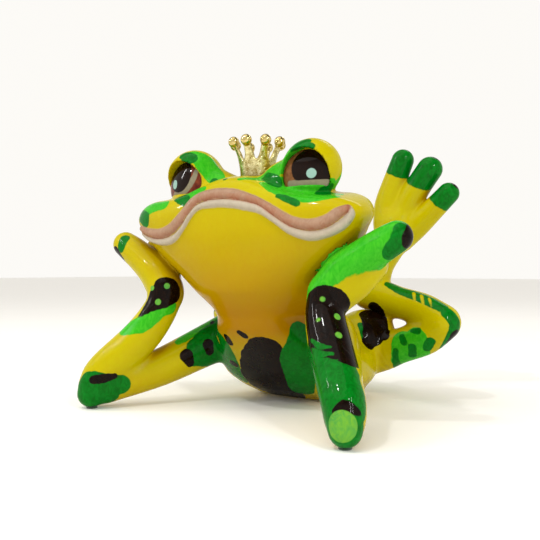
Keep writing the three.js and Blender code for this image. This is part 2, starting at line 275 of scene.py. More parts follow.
def trunk_level(p, z):
    """How far out of the trunk's section at height z a point is."""
    width, centre, front, back = [np.interp(z, LEVELS, column).astype(F) for column in SECTIONS.T]
    y = p[:, 1] - centre
    depth = np.where(y < 0, front, back)
    shift = CHEEK_SHIFT * np.clip((z - 80) / 25, 0, 1)
    u, v = np.abs(p[:, 0] + shift) / width, np.abs(y) / depth
    level = (u**POWER + v**POWER) ** (1 / POWER) + 1e-6
    slope = level ** (1 - POWER) * np.sqrt((u ** (POWER - 1) / width) ** 2 + (v ** (POWER - 1) / depth) ** 2)
    return (level - 1) / (slope + 1e-6)


def roof(p):
    """Height of the skull over a point: a low ridge between the brows that falls to the cheeks and back."""
    x, y = np.abs(p[:, 0] + CHEEK_SHIFT), p[:, 1]
    ridge = 120.8 + 12.7 * np.exp(-((x / 30.6) ** 2))
    cheeks = 0.0009 * np.maximum(x - 42, 0) ** 2 + 0.012 * np.maximum(x - 57, 0) ** 2
    tilt = -0.03 * p[:, 0]
    return ridge + tilt - cheeks + 0.16 * (np.clip(y, -130, -66) + 97) - 0.01 * np.maximum(y + 66, 0) ** 2


def trunk(p):
    z = p[:, 2]
    side = trunk_level(p, z)
    lean = (trunk_level(p, z + 1) - trunk_level(p, z - 1)) / 2
    side = (side / np.sqrt(1 + lean * lean)).astype(F)
    return common(side, z - roof(p), 12)


def face_depth(x, z):
    """y of the skin in front, found by halving, for points given by x and z."""
    near, far = np.full(len(x), FACE_NEAR), np.full(len(x), FACE_FAR)
    for _ in range(HALVINGS):
        middle = (near + far) / 2
        outside = trunk(np.stack([x, middle, z], 1).astype(F)) > 0
        near, far = np.where(outside, middle, near), np.where(outside, far, middle)
    return (near + far) / 2


def on_face(rows, proud):
    """Mouth rows as limb stations lying on the face, their centres sunk so that proud mm stand out."""
    fine = along(rows, 3)
    depth = face_depth(fine[:, 0], fine[:, 1])
    return np.stack([fine[:, 0], depth + fine[:, 2] - proud, fine[:, 1], fine[:, 2]], 1)


LIPS = [on_face(UPPER_LIP, 2.2), on_face(LOWER_LIP, 2.0)]

# ---- eyes: measured from a dome's centre along a line of sight turned outward ----
GAZE = math.radians(10)
EYE_DROP, LID_DROP = 5.6, 10.4  # below a dome's centre: the eye's middle and its lower lid
SOCKET_DEPTH, EYE_GAP = 4, 0.1  # behind a dome's centre, and the play round an eye
LID_OVERLAP = 0.6  # how far an eye reaches below the lower lid
OPENINGS = {1: (13.8, -1.4, 1.4), -1: (14.6, -0.9, 0.3)}  # radius, and how far outward and up they sit


def eye_frame(p, side):
    """Outward, up and forward distances from the middle of one eye opening."""
    sight = np.array([side * math.sin(GAZE), -math.cos(GAZE), 0], F)
    across = np.array([side * math.cos(GAZE), math.sin(GAZE), 0], F)
    q = p - np.array(DOMES[side][0], F) + np.array([0, 0, EYE_DROP], F)
    return q @ across, q[:, 2], q @ sight


def eye_opening(p, side):
    across, up, ahead = eye_frame(p, side)
    radius, outward, rise = OPENINGS[side]
    ring = np.hypot(across - outward, up - rise) - radius
    lower_lid = EYE_DROP - LID_DROP - up
    return common(common(ring, lower_lid, 3), -SOCKET_DEPTH - ahead, 2)


def head_bumps(p, side):
    centre, radius = DOMES[side]
    return join(ellipsoid(p, centre, [radius] * 3), ellipsoid(p, *BROWS[side]), 9)


def torso(p):
    """The whole trunk up to the skull, with the haunches and the roots of the arms."""
    q = left_side(p)
    root = join(limb(q, THIGH), ellipsoid(q, *HAUNCH), 6)
    root = join(root, ellipsoid(q, *HIP_SWELL), 5)
    return join(join(trunk(p), limb(q, UPPER_ARM), 6), root, 8)


def face(p):
    """The head grows out of the torso's own skin, so that no seam shows at the neck."""
    skin = torso(p)
    for side in (1, -1):
        skin = join(skin, head_bumps(p, side), 7)
    for side in (1, -1):
        skin = common(skin, -eye_opening(p, side), 1.6)
    upper, lower = (limb(p, lip, 1) for lip in LIPS)
    return join(skin, join(upper, lower, 0.8), 1.6)


def folded_leg(q):
    """Calf, ankle, sole and toes of one leg."""
    leg = join(limb(q, SHIN), limb(q, PALM), 4)
    for toe in TOES:
        leg = join(leg, limb(q, toe), 5)
    return leg


def leg(p):
    """The left leg: its thigh as it leaves the haunch, and the calf pressed down onto the haunch."""
    body = torso(p)
    out = (p - np.array(HIP[0], F)) @ (np.array(HIP[1], F) / F(np.linalg.norm(HIP[1])))
    inward = -3 - out
    thigh = np.maximum(np.maximum(body, inward), p[:, 2] - CREASE_Z)
    thigh = join(thigh, np.maximum(limb(p, THIGH), inward), 0.5)
    calf, over_haunch = folded_leg(p), out < 4
    pressed = np.maximum(calf, np.where(over_haunch, HAIRLINE - body, -FAR).astype(F))
    return np.where(over_haunch, np.minimum(thigh, pressed), join(thigh, calf, 9)).astype(F)


def arm(p):
    """The left arm; above the neck a fillet leads from its hand to the cheek."""
    hand = join(join(limb(p, THUMB), limb(p, HEEL_OF_HAND), 5), limb(p, FINGERS), 4)
    whole = join(join(limb(p, UPPER_ARM), limb(p, FOREARM), 6), hand, 4)
    head = join(trunk(p), head_bumps(p, 1), 7)
    above = p[:, 2] > NECK_Z
    filled = np.where(above, join(whole, head, 7), whole)
    return np.maximum(filled, np.where(above, HAIRLINE - head, -FAR)).astype(F)


def crown_frame(p):
    """Distance from the crown's axis, angle off the nearest prong, and distance to that prong's ball."""
    x, y, z = p[:, 0] - CROWN_AT[0], p[:, 1] - CROWN_AT[1], p[:, 2]
    around, turn = np.hypot(x, y), np.arctan2(x, -y)
    spacing = 2 * math.pi / PRONGS
    off = (turn - CROWN_PHASE + spacing / 2) % spacing - spacing / 2
    across, outward = around * np.sin(off), around * np.cos(off) - CROWN_BALL_RING
    return around, off, np.sqrt(across**2 + outward**2 + (z - CROWN_BALL_Z) ** 2) - CROWN_BALL


def crown(p):
    """A flared shell of eight prongs, each with a ball on its tip."""
    z = p[:, 2]
    around, off, balls = crown_frame(p)
    rise = (z - CROWN_LOW) / (CROWN_TOP - CROWN_LOW)
    flare = 8.8 + 1.4 * np.clip(rise, 0, 1) + 3.3 * np.clip(rise, 0, 1.2) ** 3
    shell = common(np.abs(around - flare) - 0.9, CROWN_LOW - z, 0.6)
    half_width = 2.15 + 1.9 * np.exp(-(z - CROWN_VALLEY) / 1.8)
    prongs = common(shell, np.abs(off) * around - np.minimum(half_width, PRONG_WIDEST), 1.2)
    prongs = common(prongs, z - CROWN_TOP, 1)
    return join(prongs, balls, 1.2).astype(F)


def eye(p, side):
    """A polished cabochon behind the lids, straight along the lower one."""
    across, up, ahead = eye_frame(p, side)
    radius, outward, rise = OPENINGS[side]
    ring = np.hypot(across - outward, up - rise) - (radius - EYE_GAP)
    apex, rounding = LENSES[side]
    front = np.sqrt(across**2 + up**2 + (ahead - apex + rounding) ** 2) - rounding
    lens = common(front, ring, 1)
    lens = common(lens, EYE_DROP - LID_DROP - LID_OVERLAP - up, 0.6)
    return common(lens, EYE_GAP - SOCKET_DEPTH - ahead, 0.5).astype(F)


def felt_disc(centre, radii):
    def field(p):
        q = (p[:, :2] - np.array(centre, F)) / np.array(radii, F)
        edge = (np.linalg.norm(q, axis=1) - 1) * min(radii)
        return common(edge, np.abs(p[:, 2] - PAD_THICKNESS / 2) - PAD_THICKNESS / 2, 0.5).astype(F)
    return field


# ---- meshing ----
BLOCK = 6


def sampled(field, low, high, voxel):
    """The field on lattice points that are whole multiples of voxel, exact only near the skin."""
    start = np.floor(np.array(low) / voxel).astype(int)
    count = np.ceil((np.array(high) / voxel - start) / BLOCK).astype(int)
    corner = np.stack(np.meshgrid(*[np.arange(n) for n in count], indexing="ij"), -1).reshape(-1, 3)
    middle = (start + corner * BLOCK + (BLOCK - 1) / 2) * voxel
    rough = in_chunks(field, middle.astype(F))
    reach = BLOCK * voxel * 1.4 + 1  # more than from a block's middle to its corner
    inner = np.stack(np.meshgrid(*[np.arange(BLOCK)] * 3, indexing="ij"), -1).reshape(-1, 3)
    values = np.repeat(rough[:, None], BLOCK**3, 1)
    close = np.abs(rough) < reach
    points = (start + corner[close][:, None] * BLOCK + inner) * voxel
    values[close] = in_chunks(field, points.reshape(-1, 3).astype(F)).reshape(-1, BLOCK**3)
    shape = list(count) + [BLOCK] * 3
    return values.reshape(shape).transpose(0, 3, 1, 4, 2, 5).reshape(count * BLOCK), start


def in_chunks(field, points, size=60000):
    return np.concatenate([field(points[i:i + size]) for i in range(0, len(points), size)])


def surface_net(values, start, voxel):
    """Quads round the zero level: one vertex in each lattice cell that the skin passes through."""
    inside = values < 0
    shape = np.array(values.shape) - 1
    corners = [np.array([i, j, k]) for i in (0, 1) for j in (0, 1) for k in (0, 1)]
    shifted = [inside[tuple(slice(c, c + n) for c, n in zip(corner, shape))] for corner in corners]
    filled = sum(part.astype(np.int8) for part in shifted)
    cells = np.argwhere((filled > 0) & (filled < 8))
    index = np.full(shape, -1)
    index[tuple(cells.T)] = np.arange(len(cells))
    total, hits = np.zeros((len(cells), 3)), np.zeros(len(cells))
    steps = np.eye(3, dtype=int)
    for corner in corners:
        for axis in range(3):
            if corner[axis]:
                continue
            a = values[tuple((cells + corner).T)]
            b = values[tuple((cells + corner + steps[axis]).T)]
            crossing = (a < 0) != (b < 0)
            t = a[crossing] / (a[crossing] - b[crossing])
            total[crossing] += corner + t[:, None] * steps[axis]
            hits += crossing
    vertices = (start + cells + total / hits[:, None]) * voxel
    quads = []
    for axis in range(3):
        u, v = steps[(axis + 1) % 3], steps[(axis + 2) % 3]
        first = inside[tuple(slice(0, n) if i == axis else slice(1, n) for i, n in enumerate(shape))]
        second = inside[tuple(slice(1, n + 1) if i == axis else slice(1, n) for i, n in enumerate(shape))]
        at = np.argwhere(first != second) + 1 - steps[axis]
        outward = inside[tuple(at.T)]
        ring = np.stack([index[tuple(c.T)] for c in (at - u - v, at - v, at, at - u)], 1)
        quads.append(np.where(outward[:, None], ring, ring[:, ::-1]))
    quads = np.concatenate(quads)
    return vertices, quads[(quads >= 0).all(1)]


def gradient(field, points, reach=0.3):
    ways = [np.eye(3, dtype=F)[i] * F(reach) for i in range(3)]
    sides = [in_chunks(field, points + way) - in_chunks(field, points - way) for way in ways]
    return np.stack(sides, 1) / (2 * reach)


FLATTEST, LONGEST_MOVE = 0.05, 0.4  # least squared slope, and mm moved at a time


def settled(field, vertices, quads):
    """Vertices spread evenly by their neighbours and then moved back onto the skin."""
    edges = np.concatenate([quads[:, [i, (i + 1) % 4]] for i in range(4)])
    degree = np.bincount(edges.ravel(), minlength=len(vertices))[:, None]
    for _ in range(2):
        total = np.zeros_like(vertices)
        for k in range(3):
            total[:, k] = np.bincount(edges[:, 0], vertices[edges[:, 1], k], len(vertices))
            total[:, k] += np.bincount(edges[:, 1], vertices[edges[:, 0], k], len(vertices))
        vertices = (vertices + total / degree) / 2
    for _ in range(2):
        points = vertices.astype(F)
        slope = gradient(field, points)
        steep = np.maximum((slope**2).sum(1), FLATTEST)
        move = -(in_chunks(field, points) / steep)[:, None] * slope
        vertices = vertices + np.clip(move, -LONGEST_MOVE, LONGEST_MOVE)
    return vertices


class Cut:
    """A flat parting face: where it is, which way is off the piece, and the block that it works in."""

    def __init__(self, point, away, low=(-300, -300, -300), high=(300, 300, 300)):
        self.point, self.away = Vector(point), Vector(away).normalized()
        self.low, self.high = low, high

    def holds(self, p):
        return all(a < b < c for a, b, c in zip(self.low, p, self.high))


def keep_largest(bm):
    """Deletes every part but the one with the most faces."""
    bm.faces.ensure_lookup_table()
    seen, best = set(), []
    for face_ in bm.faces:
        if face_.index in seen:
            continue
        part, stack = [], [face_]
        seen.add(face_.index)
        while stack:
            f = stack.pop()
            part.append(f)
            for edge in f.edges:
                for other in edge.link_faces:
                    if other.index not in seen:
                        seen.add(other.index)
                        stack.append(other)
        if len(part) > len(best):
            best = part
    kept = set(best)
    bmesh.ops.delete(bm, geom=[f for f in bm.faces if f not in kept], context="FACES")


def meshed(name, field, low, high, voxel, cuts=()):
    """A mesh of the field inside a block, parted and capped by its cuts, with the field's own normals."""
    values, start = sampled(field, low, high, voxel)
    vertices, quads = surface_net(values, start, voxel)
    vertices = settled(field, vertices, quads)
    mesh = bpy.data.meshes.new(name)
    mesh.from_pydata(vertices.tolist(), [], quads.tolist())
    bm = bmesh.new()
    bm.from_mesh(mesh)
    for cut in cuts:
        local = [f for f in bm.faces if cut.holds(f.calc_center_median())]
        edges = {e for f in local for e in f.edges}
        points = {v for f in local for v in f.verts}
        bmesh.ops.bisect_plane(bm, geom=[*local, *edges, *points], dist=1e-5,
                               plane_co=cut.point, plane_no=cut.away)
        off = [f for f in bm.faces if cut.holds(f.calc_center_median())
               and (f.calc_center_median() - cut.point).dot(cut.away) > 0]
        bmesh.ops.delete(bm, geom=off, context="FACES")
    if cuts:
        bm.faces.index_update()
        keep_largest(bm)
        bmesh.ops.delete(bm, geom=[v for v in bm.verts if not v.link_faces], context="VERTS")
    skin_faces = len(bm.faces)
    rim = [e for e in bm.edges if e.is_boundary]
    if rim:
        bmesh.ops.holes_fill(bm, edges=rim, sides=0)
    caps = list(bm.faces)[skin_faces:]
    bmesh.ops.triangulate(bm, faces=caps)
    bm.faces.index_update()
    bm.to_mesh(mesh)
    bm.free()
    points = coordinates(mesh)
    normals = gradient(field, points.astype(F))
    normals /= np.maximum(np.linalg.norm(normals, axis=1, keepdims=True), 1e-6)
    caps = range(skin_faces, len(mesh.polygons))
    smooth_with(mesh, normals, caps)
    return mesh, points, normals, caps


def coordinates(mesh):
    flat = np.zeros(len(mesh.vertices) * 3)
    mesh.vertices.foreach_get("co", flat)
    return flat.reshape(-1, 3)


def smooth_with(mesh, normals, caps):
    """Shades the skin by the given normals and leaves the caps flat."""
    mesh.polygons.foreach_set("use_smooth", np.ones(len(mesh.polygons), bool))
    corners = np.zeros(len(mesh.loops), int)
    mesh.loops.foreach_get("vertex_index", corners)
    wanted = normals[corners]
    for index in caps:
        polygon = mesh.polygons[index]
        wanted[list(polygon.loop_indices)] = polygon.normal
    mesh.normals_split_custom_set(wanted.tolist())


def write(mesh, name, values):
    """Stores one number, or three, for every vertex."""
    kind = "FLOAT" if values.ndim == 1 else "FLOAT_VECTOR"
    attribute = mesh.attributes.new(name, kind, "POINT")
    attribute.data.foreach_set("value" if values.ndim == 1 else "vector", values.astype(F).ravel())


def mirrored_mesh(mesh, name, points, normals, caps):
    """The right side's copy of a left piece, with its points and normals."""
    across = np.array((-1, 1, 1), F)
    faces = [list(reversed(polygon.vertices)) for polygon in mesh.polygons]
    copy = bpy.data.meshes.new(name)
    copy.from_pydata((points * across).tolist(), [], faces)
    smooth_with(copy, normals * across, caps)
    return copy, points * across, normals * across


def add_piece(name, mesh, node, material):
    """Puts a mesh made in millimetres into the scene as a piece that stands for a CAD node."""
    mesh.vertices.foreach_set("co", (coordinates(mesh) * MM).ravel())
    mesh.update()
    mesh.materials.append(material)
    piece = placed(name, mesh)
    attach(piece, "root")
    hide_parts(node)


# ---- parting faces ----
def joint_cut(joint, inner, side=1):
    """The cut through a limb's root; inner keeps the torso's part of it."""
    point, outward, low, high = [np.array(row, float) * (side, 1, 1) for row in joint]
    low, high = np.minimum(low, high), np.maximum(low, high)
    return Cut(point, outward if inner else -outward, low, high)


SOLE_CUT = Cut((0, 0, SOLE), (0, 0, -1))
NECK_TOP = Cut((0, 0, NECK_Z), (0, 0, 1), (-60, -120, 40), (60, -10, 80))
NECK_BOTTOM = Cut((0, 0, NECK_Z), (0, 0, -1))
ANKLE_TOP = Cut((0, 0, ANKLE_Z), (0, 0, 1), (0, 0, 60), (100, 60, 120))
ANKLE_BOTTOM = Cut((0, 0, ANKLE_Z), (0, 0, -1))
TORSO_CUTS = [SOLE_CUT, NECK_TOP] + [joint_cut(j, True, side) for j in (SHOULDER, HIP) for side in (1, -1)]


# ---- hand painting ----
# Brush strokes: chains of x, y, z, radius, painted where the skin passes through them. Light green goes on
# first, then dark green, black, dark green over that, and the lime spots; bare stripes stay yellow.
BODY_PAINT = {"light": [
    [(52, -93, 75, 11.5), (62, -92, 82.5, 11), (74, -89, 89, 11), (86, -88, 95, 11), (95, -87, 101, 9)],
    [(74, -76, 100, 8), (82, -73, 103, 7)],
    [(50, -66, 38, 5), (44, -58, 42, 5)],
    [(57, 4, 26, 7), (60, 0, 36, 7.5)],
    [(67, 4, 28, 8), (69, 0, 38, 8.5)],
    [(-68, -111, 46, 5), (-60, -108, 49, 5.5), (-56, -104, 53, 5.5), (-52, -100, 58, 5), (-49, -96, 60, 5)],
    [(-54, -80, 35, 4), (-50, -72, 42, 5), (-44, -60, 49, 6)],
    [(-20, -36, 56, 9), (-6, -28, 56, 11), (4, -22, 50, 9)],
    [(24, 26, 30, 8), (30, 26, 22, 9)],
], "dark": [
    [(93, -91, 91, 5.5), (98, -90, 99, 6)],
    [(63, -110, 42, 9), (72, -115, 34, 12), (78, -121, 26, 12), (86, -127, 20, 11)],
    [(82, -127, 14, 11), (88, -131, 8, 10)],
    [(46, 28, 152, 10.5), (47, 30, 158, 10)],
    [(61, 28, 143, 10.5), (66.5, 30, 151, 10)],
    [(75.5, 28.5, 128.5, 9), (80, 29.5, 132.5, 9)],
    [(45, 12, 73, 3.6), (54, 8, 69.5, 3.6), (62, 6, 67, 4), (70, 4.5, 64.5, 4), (77, 3.5, 61.5, 4),
     (84, 2, 58, 4)],
    [(88, 0, 56, 4), (92, 2, 50, 4.4), (90, 4, 42, 5), (84, 8, 35, 4)],
    [(59, -2, 41, 2), (61, -2, 37, 2.4)],
    [(65, -2, 45, 2.2), (70, -2.5, 44.5, 2.4)],
    [(66.5, -1.5, 34, 2.6), (65.5, 1, 29, 2.8)],
    [(78, -1.5, 38, 3.2), (75.5, 0, 34, 3)],
    [(55.5, -2, 31, 2), (53.5, 3, 24, 2.6), (53, 8, 19, 3)],
    [(34, -7, 47, 2.2), (39, -10.5, 35, 2)],
    [(-88, -94, 101.5, 3.6), (-88.6, -95.6, 96, 3.6)],
    [(-84, -133, 8, 8), (-79, -131, 15, 8), (-73, -127, 13, 9), (-68, -116, 14, 6)],
    [(-74, -122, 8, 8), (-84, -126, 5, 8)],
    [(-47, -76, 32, 6), (-41, -67, 39, 7.5), (-35, -60, 44, 8)],
    [(-43, -78, 27, 5), (-37, -66, 28, 9), (-31, -56, 18, 9)],
    [(14, -30, 54, 8), (20, -20, 48, 10), (18, -8, 42, 7)],
    [(38, 28, 92, 6), (40, 33, 104, 7), (44, 37, 112, 5)],
    [(-32, -71, 42, 4), (-31, -71, 35, 5), (-30, -68, 29, 4)],
    [(-27, -75, 46, 4), (-22, -79, 41, 4.4), (-23, -74, 32, 6), (-27, -64, 22, 7), (-30, -52, 13, 7)],
], "black": [
    [(60, -97, 62.5, 12), (66, -103, 51, 13), (70, -107, 44, 11), (77, -109, 40, 8)],
    [(101, -88, 97, 5.5), (103, -86, 101, 5)],
    [(82.5, -131, 18, 1.6), (86.5, -129, 21.5, 2.4), (90.5, -127, 19.5, 2.4), (94, -124, 17, 1.8)],
    [(78, -132.6, 10.5, 1.8), (81, -134, 6.5, 2)],
    [(53, -72, 36, 4.5), (58, -80, 33, 4)],
    [(9, -77, 37, 11.5), (3, -69, 28, 15.5), (-5, -55, 14, 18.5), (-5, -45, 5, 18)],
    [(36, 4, 53, 8), (42, -1, 45, 9), (40, -8, 36, 5)],
    [(47, -2, 41, 4.4)],
    [(92.5, 4, 42, 4), (87, 8, 35, 3)],
    [(49, 32, 163, 4.4)],
    [(70.5, 31, 156.5, 4.6)],
    [(84, 30, 137, 4)],
    [(-99, -88, 97, 5.5)],
    [(-95, -94, 94, 3.2), (-90, -93, 88, 3.2)],
    [(-50, -97, 68.5, 9), (-54, -100, 63.5, 6.5), (-58, -103.5, 58, 3.6), (-62, -106.5, 53, 1.6)],
    [(-77, -130, 18, 2.4), (-73, -126, 18.5, 2.8), (-69.4, -120, 19.7, 2)],
    [(-47, -82, 29, 4.4), (-46, -80, 25, 3)],
    [(-39, -71, 35.5, 3.6), (-39, -70, 32, 3.4)],
    [(-42, -62, 46.5, 3), (-40, -60, 43, 2.6)],
    [(-14.5, -82.5, 42.5, 2.8), (-15, -80.5, 39, 2.8)],
    [(-1.5, -88.5, 46, 2.2), (0.5, -87.5, 44, 2.6)],
    [(-24, -64, 24, 3.4)],
    [(-9, -27, 58, 3.4)],
    [(20, -17, 49, 4)],
    [(10, -14, 45, 3)],
], "spots": [
    [(59.1, -99.8, 66.7, 1.9)], [(59.8, -104.6, 56.2, 1.9)], [(67, -99.6, 58.2, 1.9)],
    [(71.5, -106, 50, 1.9)], [(54, -99.5, 62, 1.8)], [(56.5, -102.5, 57, 1.6)],
    [(-48.9, -97.1, 72.1, 1.8)], [(-57.4, -100.8, 70.8, 1.6)], [(-51.8, -101.7, 62.7, 1.9)],
    [(86.7, -131.8, 12, 7.4)],
], "over": [
    [(30, -74, 47, 6.5), (27, -71, 38, 9), (24, -69, 30, 9.5), (21, -60, 20, 9.5), (16, -50, 10, 8)],
    [(58.5, -109.5, 47, 0.9), (65, -113, 44.5, 1.7), (70.5, -113, 44.5, 0.9)],
    [(59.5, -112.5, 43, 1.1), (66, -115.5, 41, 2), (73, -115, 41.5, 1.1)],
    [(61, -115, 39, 1.3), (68, -117.5, 37.5, 2.3), (76, -116, 38.5, 1.2)],
    [(66, -117, 33.5, 2), (74, -118.5, 33, 2.6), (81, -116, 35, 1.4)],
], "bare": [
    [(63, 8, 69.5, 1), (67, 2, 61, 1.2)],
    [(69, 6, 67, 1), (72.5, 1.5, 60, 1.2)],
    [(74.5, 5, 65, 0.9), (78, 1, 58.5, 1.1)],
]}
HEAD_PAINT = {"light": [
    [(16, -87, 134, 5), (26, -89, 140, 6), (33, -90, 145.5, 5.5), (38, -89, 149, 4)],
    [(21, -94, 130, 4.5), (29, -98, 126.5, 5), (38, -98.5, 124.5, 6), (48, -97.5, 122, 6.5),
     (57, -93.5, 122.5, 6), (63, -88, 124.5, 5)],
    [(26, -88, 128, 4.6), (33, -92, 125.5, 5), (42, -91, 124.5, 5.5), (50, -87, 124.5, 5.5),
     (57, -82, 125, 5.5)],
    [(54.5, -76, 127.5, 3.4), (56, -72, 131, 3.6)],
    [(14, -88, 134, 5), (9, -94.5, 133, 3), (6, -98, 132, 2)],
    [(-36, -88, 149, 5), (-28, -86, 144.5, 7), (-23, -86, 139.5, 6.5), (-18, -88, 135, 5),
     (-10, -92, 134, 3)],
    [(-30, -100, 125, 4), (-22.5, -101.5, 125.5, 4), (-17, -102, 127, 2.6)],
    [(-67, -95, 117, 4.5), (-59, -97.5, 119.5, 4.5), (-47, -100, 120, 3)],
    [(40, -46, 106, 12), (26, -42, 96, 11), (16, -40, 84, 8)],
    [(-46, -66, 150, 7), (-40, -62, 142, 7), (-32, -60, 134, 6)],
], "dark": [
    [(36, -91, 147.5, 3.2), (42, -89, 150.5, 3.6)],
    [(41, -94, 143.5, 2.4), (46, -91.5, 147, 3.2)],
    [(33.5, -101.8, 121.5, 2.3), (39, -101.9, 119, 2.5), (44.5, -102, 116.3, 2.2)],
    [(16, -88, 133.5, 3), (22, -90.5, 131, 3.6), (27, -92, 129, 3)],
    [(53, -80.5, 125.5, 2.6), (52, -84, 123, 3.2), (50, -87, 121.5, 3)],
    [(-41, -90, 149.5, 3.6), (-36, -91, 147.5, 4.6)],
    [(-20, -88.5, 133.4, 2.6)],
    [(-37, -99, 123, 3.6), (-29, -102.5, 121, 3.6)],
    [(-71, -93, 114.5, 4.5), (-65, -97, 112, 5)],
    [(-4, -98.5, 131.5, 1.6)],
    [(-34, -46, 108, 11), (-24, -42, 98, 12), (-20, -38, 84, 8)],
    [(44, -64, 148, 5), (38, -62, 142, 6)],
], "black": [
    [(-26, -41, 104, 5)], [(-18, -39, 92, 3.6)], [(-32, -42, 94, 3)], [(30, -42, 104, 4)], [(22, -40, 94, 3)],
]}
LAYERS = ("light", "dark", "black", "spots", "over", "bare")
LEGS_FROM = -12  # y in front of which the two sides are painted differently
# The throat's orange is partly airbrushed colour and partly painted shade under the chin and throat.
AIRBRUSH_AND_SHADE = 0.8  # how orange the throat gets
THROAT_BACK, THROAT_LOW, THROAT_TOP = -20, 22, 124  # y and heights where the orange fades out
THROAT_BLEND = 10  # mm from the trunk's own skin, onto the arms
UNPAINTED = 9.0  # mm from a stroke's edge; further away it doesn't matter
FOLD_REACH = 7.0  # mm of open air that the bottom of a fold lacks


def painted_distance(p, strokes):
    """Distance to the edge of one layer of paint; behind LEGS_FROM both sides are painted alike."""
    p = np.where(p[:, 1:2] > LEGS_FROM, left_side(p), p)
    nearest = np.full(len(p), F(UNPAINTED))
    for stroke in strokes:
        if len(stroke) == 1:
            x, y, z, radius = stroke[0]
            gap = ellipsoid(p, (x, y, z), [radius] * 3)
        else:
            gap = limb(p, stroke, 2)
        nearest = np.minimum(nearest, gap)
    return nearest


def whole_figure(p):
    q = left_side(p)
    return np.minimum(np.minimum(face(p), torso(p)), np.minimum(arm(q), leg(q)))


def store_paint(mesh, points, normals, paint):
    """What the shader needs: distances to the edges of the paint and lips, how deep in the folds each point
    lies for the painted shade there, and the throat's airbrushed orange with its painted shade.
    """
    p = points.astype(F)
    distances = [painted_distance(p, paint.get(layer, [])) for layer in LAYERS]
    lips = [np.minimum(limb(p, lip, 1), UNPAINTED) for lip in LIPS]
    open_air = in_chunks(whole_figure, p + F(FOLD_REACH) * normals.astype(F))
    write(mesh, "paint_low", np.stack(distances[:3], 1))
    write(mesh, "paint_high", np.stack(distances[3:], 1))
    # How deep in the folds each point lies; the shader turns this into painted shade.
    write(mesh, "fold_shade", np.clip(1 - open_air / FOLD_REACH, 0, 1))
    y, z = points[:, 1], points[:, 2]
    # Painted shade and airbrushed orange under the chin and on the throat, fading onto the arms.
    throat = np.exp(-((in_chunks(trunk, p) / THROAT_BLEND) ** 2)) * np.clip((THROAT_BACK - y) / 20, 0, 1)
    throat *= np.clip((THROAT_TOP - z) / 66, 0, 1) * np.clip((z - THROAT_LOW) / 26, 0.15, 1)
    write(mesh, "airbrush_and_shade", AIRBRUSH_AND_SHADE * throat)
    write(mesh, "lip_edges", np.stack([lips[0], lips[1], lips[0] - lips[1]], 1))


# ---- materials ----
def ink(red, green, blue):
    """A colour given as it looks on screen, 0 to 255."""
    parts = [c / 255 for c in (red, green, blue)]
    return tuple(c / 12.92 if c <= 0.04045 else ((c + 0.055) / 1.055) ** 2.4 for c in parts) + (1.0,)


class Paint:
    """A material whose nodes are written as calls."""

    def __init__(self, name):
        self.material = bpy.data.materials.new(name)
        self.material.use_nodes = True
        self.nodes, self.links = self.material.node_tree.nodes, self.material.node_tree.links
        self.shader = self.nodes["Principled BSDF"]
        self.place = self.nodes.new("ShaderNodeTexCoord").outputs["Object"]

    def feed(self, socket, value):
        if isinstance(value, bpy.types.NodeSocket):
            self.links.new(value, socket)
        else:
            socket.default_value = value

    def set(self, **values):
        for name, value in values.items():
            self.feed(self.shader.inputs[name.replace("_", " ")], value)

    def stored(self, name):
        """The three numbers of a vector attribute."""
        node = self.nodes.new("ShaderNodeAttribute")
        node.attribute_name = name
        split = self.nodes.new("ShaderNodeSeparateXYZ")
        self.links.new(node.outputs["Vector"], split.inputs[0])
        return split.outputs[:]

    def stored_number(self, name):
        node = self.nodes.new("ShaderNodeAttribute")
        node.attribute_name = name
        return node.outputs["Fac"]

    def height(self):
        """Height above the table, in mm."""
        split = self.nodes.new("ShaderNodeSeparateXYZ")
        self.links.new(self.place, split.inputs[0])
        return self.math("DIVIDE", split.outputs["Z"], MM)

    def noise(self, scale, detail=2.0, rough=0.5, warp=0.0, stretch=None):
        """Cloudy values from 0 to 1; scale is in waves per metre."""
        node = self.nodes.new("ShaderNodeTexNoise")
        place = self.place
        if stretch:
            mapping = self.nodes.new("ShaderNodeMapping")
            mapping.inputs["Scale"].default_value = stretch
            self.links.new(place, mapping.inputs["Vector"])
            place = mapping.outputs[0]
        self.links.new(place, node.inputs["Vector"])
        for name, value in (("Scale", scale), ("Detail", detail), ("Roughness", rough), ("Distortion", warp)):
            node.inputs[name].default_value = value
        return node.outputs["Fac"]

    def math(self, kind, a, b=0.0, c=0.0):
        node = self.nodes.new("ShaderNodeMath")
        node.operation = kind
        for socket, value in zip(node.inputs, (a, b, c)):
            self.feed(socket, value)
        return node.outputs[0]

    def ramp(self, value, low, high, at_low=0.0, at_high=1.0):
        node = self.nodes.new("ShaderNodeMapRange")
        for socket, number in zip(node.inputs, (value, low, high, at_low, at_high)):
            self.feed(socket, number)
        return node.outputs[0]

    def mix(self, amount, a, b):
        node = self.nodes.new("ShaderNodeMix")
        node.data_type = "RGBA"
        for index, value in ((0, amount), (6, a), (7, b)):
            self.feed(node.inputs[index], value)
        return node.outputs[2]

    def inside(self, distance, ragged=0.0, wave=None, soft=0.22):
        """1 where a stored distance is negative; wave makes the edge uneven by about ragged mm."""
        if wave is not None:
            distance = self.math("MULTIPLY_ADD", wave, -2 * ragged, self.math("ADD", distance, ragged))
        return self.ramp(distance, -soft, soft, 1, 0)

    def bump(self, height, depth, strength=1.0, socket="Normal"):
        node = self.nodes.new("ShaderNodeBump")
        node.inputs["Distance"].default_value = depth
        node.inputs["Strength"].default_value = strength
        self.links.new(height, node.inputs["Height"])
        self.links.new(node.outputs[0], self.shader.inputs[socket])


